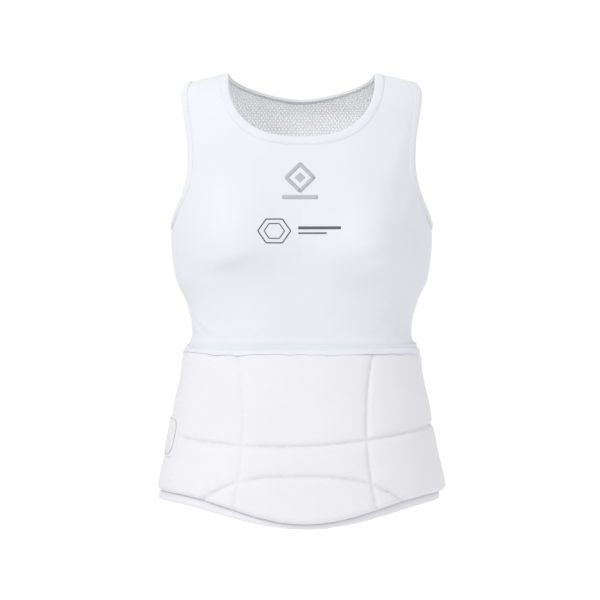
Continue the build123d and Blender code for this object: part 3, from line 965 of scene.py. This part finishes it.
def under_closure(points):
    """1 where the strap, its anchor or the loop patch presses the pad flat, 0 away from them."""
    x, y, z = points[..., 0], points[..., 1], points[..., 2]
    band = 1 - smooth(np.abs(z - STRAP_Z), STRAP_WIDTH / 2 - 2, STRAP_WIDTH / 2 + 6)
    left = smooth(x, WING_END - 4, WING_END) * smooth(y, 32, 44)
    right = smooth(-x, WING_END - 4, WING_END) * smooth(y, PATCH_FRONT - 10, PATCH_FRONT + 2)
    return band * np.maximum(left, right)


def pad_cover(seams, material):
    turn, z, bottom = pad_grid(1.5, row_shares(148), COVER)
    base = torso(turn, z, COVER)
    away = seams.away(base)
    x, y = base[..., 0], base[..., 1]
    pucker = PUCKER * np.exp(-away / PUCKER_WIDTH)
    sink = groove(away, pull(base)) + pucker * waves(base, 6, 11) - rumple(base, PAD_WAVES)
    wing = np.where(y > 0, np.abs(x) - WING_END, 99)
    calm = under_closure(base)
    sink = sink * (1 - calm) + FLAT_SINK * calm
    edge = rim(z - bottom, PAD_RIM_LOW) * rim(PAD_TOP - z, top_rim(x)) * (0.35 + 0.65 * rim(wing, 7))
    outer = torso(turn, z, PAD_MIDDLE + (COVER + PAD_PUFF - np.maximum(sink, 0) - PAD_MIDDLE) * edge)
    inner_full = 1.4 + DIMPLE * np.exp(-away / DIMPLE_WIDTH)
    inner = torso(turn, z, PAD_MIDDLE + (inner_full - PAD_MIDDLE) * edge)
    ob = closed_grid("pad_body", outer, inner)
    places = [(row, side) for row in ("upper", "middle", "lower") for side in ("left", "centre", "right")]
    foams = [f"foam_{row}_{side}" for row, side in places]
    finish_piece(ob, "vest", material, ["pad_cover", *foams])
    return ob


def pad_backing(seams, material):
    turn, z, _ = pad_grid(3.2, np.linspace(0.012, 0.988, 62), COVER)
    away = seams.away(torso(turn, z, COVER))
    points = torso(turn, z, 0.95 + DIMPLE * np.exp(-away / DIMPLE_WIDTH))
    ob = thicken(sheet_grid("pad_backing_knit", points, flip=True), LINING_THICK)
    return finish_piece(ob, "vest", material, "pad_backing")


GATHER_SIZE, DRIFT_SIZE = 4.5, 16  # the lower tape's gathers, and its slower ups and downs
GATHERED_PROFILE = [  # round the tape's section: height over the pad's edge, offset from the form
    (5.0, 3.4), (1.0, 4.0), (-2.0, 4.4), (-5.0, 4.4), (-7.4, 4.1), (-8.6, 3.4),
    (-8.8, 2.6), (-7.8, 1.9), (-4.0, 1.4), (0.0, 1.3), (5.0, 1.4),
]


def bottom_binding(material):
    """Gathered tape under the pad's lower edge, set back from the cover."""
    turns_to_edge, _, bottom = pad_grid(1.5, np.array([0.0, 1.0]), 6)
    turn = turns_to_edge[1]
    base = torso(turn, bottom, 6)
    gather, drift = waves(base, GATHER_SIZE, 21), waves(base, DRIFT_SIZE, 22)
    middle = 1 - smooth(np.abs(base[:, 0]), 10, 110) * (base[:, 1] < 0) - (base[:, 1] >= 0)
    length = 1 - 0.32 * middle
    forward = 1.4 + 6.0 * (1 - smooth(base[:, 0], -120, 0))
    rings = []
    for drop, grow in GATHERED_PROFILE:
        loose = min(1.0, max(0.0, (2 - drop) / 8))
        level = bottom + (drop * length if drop < 0 else drop) + (gather * 0.35 + drift * 0.6) * loose
        out = forward * (1 if grow > 3 else 0.6) * smooth(-drop, -3, 1)
        rings.append(torso(turn, level, grow + out + (gather * 0.75 + drift * 0.5) * loose))
    points = np.stack(rings, axis=0)
    number = np.arange(points.shape[0] * points.shape[1]).reshape(points.shape[:2])
    caps = [number[:, 0].tolist(), number[::-1, -1].tolist()]
    ob = wrapped_grid("bottom_binding_tape", points, wrap_rows=True, caps=caps)
    return finish_piece(ob, "vest", material, "bottom_binding")


def rear_binding(side, material):
    """Tape folded round the end of a wing."""
    z = np.linspace(PAD_TOP - 4, PAD_SIDE_BOTTOM + 0.5, 90)
    sweep = np.linspace(-math.pi / 2, math.pi / 2, 17)
    loop = []
    for angles, thin in ((sweep, 0), (sweep[::-1], REAR_THICK)):
        for a in angles:
            x = REAR_X - (REAR_REACH - thin) * math.cos(a) ** 0.7
            loop.append((x, REAR_MIDDLE + (REAR_HALF - thin) * math.sin(a)))
    lines = [at_x(x, z, grow, behind=True) for x, grow in loop]
    points = np.stack(lines, axis=1) * [side, 1, 1]
    name = SIDE_NAMES[side]
    caps = end_caps(*points.shape[:2])
    ob = wrapped_grid(f"rear_binding_tape_{name}", points, wrap_columns=True, caps=caps)
    return finish_piece(ob, "vest", material, f"rear_binding_{name}")


# ---- Closure
def closure_strap(material):
    """Ribbed elastic across the back: one end dips under the anchor patch, the other lies under the tab."""
    x = np.linspace(-STRAP_END, STRAP_END + STRAP_TAIL, 186)
    z = np.linspace(STRAP_Z + STRAP_WIDTH / 2, STRAP_Z - STRAP_WIDTH / 2, 25)[:, None]
    across = np.abs(z - STRAP_Z) / (STRAP_WIDTH / 2)
    free = 1 - smooth(np.abs(x), STRAP_END - 12, STRAP_END - 8)
    tail = smooth(x, STRAP_END - 3, STRAP_END + 4)
    ripple = 0.14 * np.sin(x / 1.9) * (1 - across**4) * free
    half = (0.95 - 0.2 * free) * np.sqrt(1 - across**8 * 0.75) * (1 - 0.35 * tail)
    sag = STRAP_SAG * (1 - smooth(np.abs(x), 20, WING_END))
    middle = STRAP_OFFSET + STRAP_THICK / 2 - sag - 1.15 * tail + ripple
    outer, inner = at_x(x, z, middle + half, True), at_x(x, z, middle - half, True)
    ob = closed_grid("closure_strap_elastic", outer, inner)
    return finish_piece(ob, None, material, "closure_strap")


def wing_strip(name, side, x_range, front_y, width, offset, thick, round_end=0.0, over=0.0):
    """A flat piece on a wing, from x_range[0] behind to x_range[1], or round to the plane y = front_y.

    over lifts the part that lies on the strap; round_end is the radius of the far corners.
    """
    z_rows = np.linspace(0.5, -0.5, 25)
    z = STRAP_Z + width * z_rows
    start = turn_at(x_range[0], z, offset, behind=True)
    if front_y is None:
        end = turn_at(x_range[1], z, offset, behind=True)
    else:
        fine = np.linspace(-math.pi / 2, math.pi / 2, 2000)
        end = np.array([fine[np.argmin(np.abs(torso(fine, h, offset)[:, 1] - front_y))] for h in z])
    share = np.linspace(0, 1, 100)
    middle = len(z) // 2
    long = lengths_along(torso(start[middle] + (end[middle] - start[middle]) * share, STRAP_Z, offset))[-1]
    if round_end:
        corner = np.clip(1 - (1 - np.abs(2 * z_rows)) * width / 2 / round_end, 0, 1)
        end = end + (start - end) * (1 - np.sqrt(1 - corner**2)) * round_end / long
    turn = start[:, None] + (end - start)[:, None] * share
    level = z[:, None]
    edge = np.sqrt(1 - np.abs(2 * z_rows) ** 8 * 0.7)[:, None]
    across = torso(turn, level, offset)[..., 0]
    bed = offset + over * (1 - smooth(across, STRAP_END - 2, STRAP_END + 5))
    edge = edge * np.sqrt(1 - share**60 * 0.8)
    outer, inner = torso(turn, level, bed + thick * edge), torso(turn, level, bed)
    return closed_grid(name, outer * [side, 1, 1], inner * [side, 1, 1])


def closure_stitches(material):
    """A sewn box on the anchor patch, and two rows that hold the tab on the strap."""

    def path(points, grow):
        x, z = resample(np.array(points, float), 1.0).T
        base = at_x(x, z, grow, True)
        return base, at_x(x, z, grow + 1, True) - base

    low, high = STRAP_Z - STRAP_WIDTH / 2 + 4, STRAP_Z + STRAP_WIDTH / 2 - 4
    near, far = STRAP_END + 5, STRAP_END + ANCHOR_LENGTH - 1
    box = [(near, low), (far, low), (far, high), (near, high), (near, low), (far, high)]
    cross = [(near, high), (far, low)]
    grow = ANCHOR_OFFSET + ANCHOR_THICK
    stitches("anchor_stitching", [path(box, grow), path(cross, grow)], CLOSURE_STITCH, material)
    low, high = STRAP_Z - TAB_WIDTH / 2 + 3, STRAP_Z + TAB_WIDTH / 2 - 3
    grow = STRAP_OFFSET + TAB_LIFT + TAB_OVER + TAB_THICK
    rows = [path([(x, low), (x, high)], grow) for x in (4 - STRAP_END, 8 - STRAP_END)]
    stitches("tab_stitching", rows, CLOSURE_STITCH, material, "strap")


# ---- Print
def ribbon(points_2d, width, closed):
    """A flat line of the given width along points in the front view, laid on the vest."""
    path = np.array(points_2d, float)
    path = resample(path, 1.2, closed)
    t = tangents(path, closed)
    side = np.stack([-t[:, 1], t[:, 0]], axis=1) * width / 2
    return np.stack([path + side, path - side], axis=1)


def chest_print(name, strips, material):
    """Thin ink from strips, each a grid of front-view points and whether it closes."""
    points, faces = [], []
    for strip, closed in strips:
        flat = strip.reshape(-1, 2)
        base = at_x(flat[:, 0], flat[:, 1], FABRIC)
        lifted = at_x(flat[:, 0], flat[:, 1], FABRIC + 0.22 + vest_relief(base))
        faces.append(grid_faces(strip.shape[0], strip.shape[1], wrap_rows=closed) + len(points))
        points += list(lifted)
    ob = mesh_from(name, np.array(points), np.vstack(faces))
    thicken(ob, 0.12)
    return finish_piece(ob, "vest", material)


def ring(x, z, radius, sides, squash=1.0):
    """A regular outline with a corner to the right, such as a diamond of 4 sides."""
    a = round_angles(sides)
    return np.stack([x + radius * np.cos(a), z + radius * squash * np.sin(a)], axis=1)


def bar(x, z, width, height):
    """A filled bar as a grid of points."""
    across, up = np.linspace(x - width / 2, x + width / 2, 16), np.linspace(z - height / 2, z + height / 2, 4)
    return np.stack(np.meshgrid(across, up), axis=-1)


def diamond(x, z, radius):
    """A filled diamond as a grid of points."""
    u, v = np.meshgrid(np.linspace(-1, 1, 8), np.linspace(-1, 1, 8))
    return np.stack([x + (u - v) / 2 * radius, z + (u + v) / 2 * radius], axis=-1)


# ---- Stage, light and camera
FLAG_SHADE, FLAG_X, FLAG_SIZE = 0.7, -0.75, (1.0, 0.95)  # a grey card off to one side
FLOOR_SHADE, FLOOR_DROP, FLOOR_RADIUS = (0.93, 0.93, 0.93), 0.35, 9
FLOOR_GLOW = 0.08  # lifts the floor to the white of the surroundings
KEY_PLACE, KEY_SIZE, KEY_POWER = (-1.9, -1.9, 2.1), 1.1, 40


def studio():
    place = (0, 0, cad_bounds[0][2] - FLOOR_DROP)
    bpy.ops.mesh.primitive_circle_add(vertices=96, radius=FLOOR_RADIUS, fill_type="NGON", location=place)
    floor = bpy.context.object
    floor.name = "studio_floor"
    material, _, shader = new_material("floor_paper", FLOOR_SHADE, 0.9, 0, 0.005, 0.8)
    shader.inputs["Emission Color"].default_value = (1, 1, 1, 1)
    shader.inputs["Emission Strength"].default_value = FLOOR_GLOW
    floor.data.materials.append(material)
    bpy.ops.mesh.primitive_plane_add(size=1, location=(FLAG_X, 0.1, 0.15), rotation=(0, math.pi / 2, 0))
    flag = bpy.context.object
    flag.name = "studio_flag"
    flag.scale = (FLAG_SIZE[1], FLAG_SIZE[0], 1)
    flag.visible_camera = False
    flag.data.materials.append(new_material("flag_card", (FLAG_SHADE,) * 3, 0.9, 0)[0])
    world = bpy.context.scene.world or bpy.data.worlds.new("studio_world")
    bpy.context.scene.world = world
    world.use_nodes = True
    sky = world.node_tree.nodes["Background"]
    sky.inputs["Color"].default_value = (1, 1, 1, 1)
    sky.inputs["Strength"].default_value = 1.0
    light = bpy.data.lights.new("key_light", "AREA")
    light.energy, light.size = KEY_POWER, KEY_SIZE
    key = bpy.data.objects.new("key_light", light)
    key.location = KEY_PLACE
    key.rotation_euler = (Vector((0, 0, 0.05)) - Vector(KEY_PLACE)).to_track_quat("-Z", "Y").to_euler()
    bpy.context.collection.objects.link(key)


CAMERA_AWAY, CAMERA_HIGH, CAMERA_SIDE, FRAME_WIDE = 2.5, 0.0632, -0.002, 0.702


def camera():
    """Level, straight in front, at the distance and width of view the object is shown at."""
    data = bpy.data.cameras.new("camera")
    data.sensor_width = 36
    data.lens = data.sensor_width * CAMERA_AWAY / FRAME_WIDE
    ob = bpy.data.objects.new("camera", data)
    ob.location = (CAMERA_SIDE, -CAMERA_AWAY, CAMERA_HIGH)
    ob.rotation_euler = (math.pi / 2, 0, 0)
    bpy.context.collection.objects.link(ob)
    bpy.context.scene.camera = ob


def make_looks():
    """Every material of the object, by a short name."""
    return {
        "vest": knit("vest_knit", VEST_WHITE),
        "mesh": knit("vest_mesh", (0.73, 0.74, 0.775), 0.0011, 0.00006),
        # A paler copy of the mesh knit for the back panel's inner side: painted light in the vest's shaded
        # inside.
        "mesh_inside_painted_light": knit("vest_mesh_inside", (0.92, 0.92, 0.945), 0.0011, 0.00006),
        "binding": tape("binding_tape", VEST_WHITE, 0.0011, 0.00006),
        # A paler copy of the binding tape for its folded-in side: painted light where the inside of the
        # openings lies in shade.
        "painted_light_facing": tape("facing_tape", (0.85, 0.855, 0.87), 0.0011, 0.00006),
        "gathered": tape("gathered_tape", (0.69, 0.69, 0.72), 0.0014, 0.0001),
        "cover": pad_knit("pad_knit", (0.695, 0.693, 0.722)),
        "lining": knit("lining_knit", (0.70, 0.70, 0.72), 0.0014, 0.00007),
        "elastic": tape("elastic", (0.69, 0.69, 0.71), 0.0021, 0.00022),
        "tab": tape("tab_tape", (0.675, 0.675, 0.69), 0.0016, 0.0001, "Y"),
        "loop": fuzzy("loop_tape", (0.69, 0.69, 0.715), 0.0009, 0.00015, 0.95, 0.15),
        "hook": fuzzy("hook_tape", (0.62, 0.62, 0.63), 0.0013, 0.0003, 0.6, 0.0),
        "foam": fuzzy("foam", (0.74, 0.73, 0.69), 0.0018, 0.0001, 0.9, 0.0),
        "thread": tape("thread", (0.70, 0.71, 0.74), 0.0006, 0.00003),
        "plastic": plastic("cup_plastic", (0.76, 0.76, 0.75)),
        "grey_ink": ink("grey_ink", (0.42, 0.425, 0.44)),
        "dark_ink": ink("dark_ink", (0.1, 0.1, 0.11)),
    }


def vest(looks):
    """Panels, bindings, hem and their stitching; returns the pieces that are sheets."""
    skin = Skin(FABRIC)
    front, back = front_panel(looks["vest"]), back_panel(looks["mesh"], looks["mesh_inside_painted_light"])
    neck, arm = neck_loop(), arm_loop()
    tapes = looks["binding"], looks["painted_light_facing"]
    widths = NECK_BINDING, NECK_INSIDE
    title, node = "neck_binding_tape", "neck_binding"
    runs = [binding(title, neck, NECK_CENTRE, skin, widths, NECK_BEHIND, False, tapes, node)]
    for side, name in SIDE_NAMES.items():
        title, node = f"armhole_binding_tape_{name}", f"armhole_binding_{name}"
        widths = ARM_BINDING, ARM_BINDING
        runs.append(binding(title, arm, ARM_CENTRE, skin, widths, 1.0, side < 0, tapes, node))
    band, band_paths = waist_band(looks["vest"])
    waist_elastic(looks["elastic"])
    stitches("vest_stitching", runs + band_paths + panel_seams(), VEST_STITCH, looks["thread"])
    return front, back, band


def cups(looks):
    """Foam pads, the pocket behind them and the look of the plastic shells, which stay as in the CAD."""
    for side in SIDE_NAMES:
        cup_foam(side, looks["foam"])
    pocket = cup_lining(looks["lining"])
    for name in SIDE_NAMES.values():
        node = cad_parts[f"cup_shell_{name}"]
        node.data.materials.clear()
        node.data.materials.append(looks["plastic"])
    return pocket


def pad(looks):
    """The quilted pad with its backing, bindings and stitching; returns the backing."""
    seams = Seams(seam_paths(COVER))
    pad_cover(seams, looks["cover"])
    backing = pad_backing(seams, looks["lining"])
    bottom_binding(looks["gathered"])
    for side in SIDE_NAMES:
        rear_binding(side, looks["binding"])
    quilting = []
    for surface, deep in zip(seam_paths(COVER + PAD_PUFF), seam_paths(COVER + PAD_PUFF - GROOVE - CROWN)):
        line = surface + (deep - surface) * pull(surface)[:, None]
        quilting.append((line, line * [1, 1, 0]))
    stitches("pad_stitching", quilting, PAD_STITCH, looks["thread"])
    return backing


def closure(looks):
    """The strap with its anchor, the hook tab and the loop patch; strap and tab are attached to no body."""
    strap = closure_strap(looks["elastic"])
    anchor_x = (STRAP_END + 1.5, STRAP_END + 1.5 + ANCHOR_LENGTH)
    anchor = wing_strip("strap_anchor_patch", 1, anchor_x, None, STRAP_WIDTH, ANCHOR_OFFSET, ANCHOR_THICK, 3)
    finish_piece(anchor, "vest", looks["elastic"], "strap_anchor")
    tab_x, tab_offset = (STRAP_END - TAB_SEWN, None), STRAP_OFFSET + TAB_LIFT
    tab = wing_strip("hook_tab_tape", -1, tab_x, TAB_FRONT, TAB_WIDTH, tab_offset, TAB_THICK, 12, TAB_OVER)
    finish_piece(tab, None, looks["tab"], "hook_tab")
    hook_x, hook_front, hook_width = (STRAP_END + 3, None), TAB_FRONT + HOOK_INSET, TAB_WIDTH - 2 * HOOK_INSET
    hooks = wing_strip("hook_face_tape", -1, hook_x, hook_front, hook_width, HOOK_OFFSET, HOOK_THICK, 11.5)
    finish_piece(hooks, "tab", looks["hook"], "hook_face")
    patch_x = (WING_END + 7, None)
    patch = wing_strip("loop_patch_tape", -1, patch_x, PATCH_FRONT, PATCH_WIDTH, PATCH_OFFSET, PATCH_THICK, 6)
    finish_piece(patch, "vest", looks["loop"], "loop_patch")
    closure_stitches(looks["thread"])
    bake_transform(strap)
    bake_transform(tab)


def prints(looks):
    """Two plain marks in place of the printed ones: a diamond over a bar, and a hexagon beside two bars."""
    diamond_x, diamond_z = -2, 202
    upper_strips = [
        (ribbon(ring(diamond_x, diamond_z, 15.5, 4), 4.2, True), True),
        (diamond(diamond_x, diamond_z, 6.0), False),
        (bar(diamond_x, 179.5, 40, 4.4), False),
    ]
    hexagon_x, hexagon_z, squash = -31, 141, 0.84
    lower_strips = [
        (ribbon(ring(hexagon_x, hexagon_z, 18.5, 6, squash), 1.3, True), True),
        (ribbon(ring(hexagon_x, hexagon_z, 11.5, 6, squash), 1.1, True), True),
        (bar(20, 144.5, 48, 3.2), False),
        (bar(12, 138.5, 32, 1.7), False),
    ]
    upper = chest_print("chest_print_upper", upper_strips, looks["grey_ink"])
    return [upper, chest_print("chest_print_lower", lower_strips, looks["dark_ink"])]


def main():
    noise.seed_set(4)
    bpy.context.scene.view_settings.view_transform = "Standard"
    studio()
    camera()
    looks = make_looks()
    front, back, band = vest(looks)
    pocket = cups(looks)
    backing = pad(looks)
    closure(looks)
    marks = prints(looks)


main()
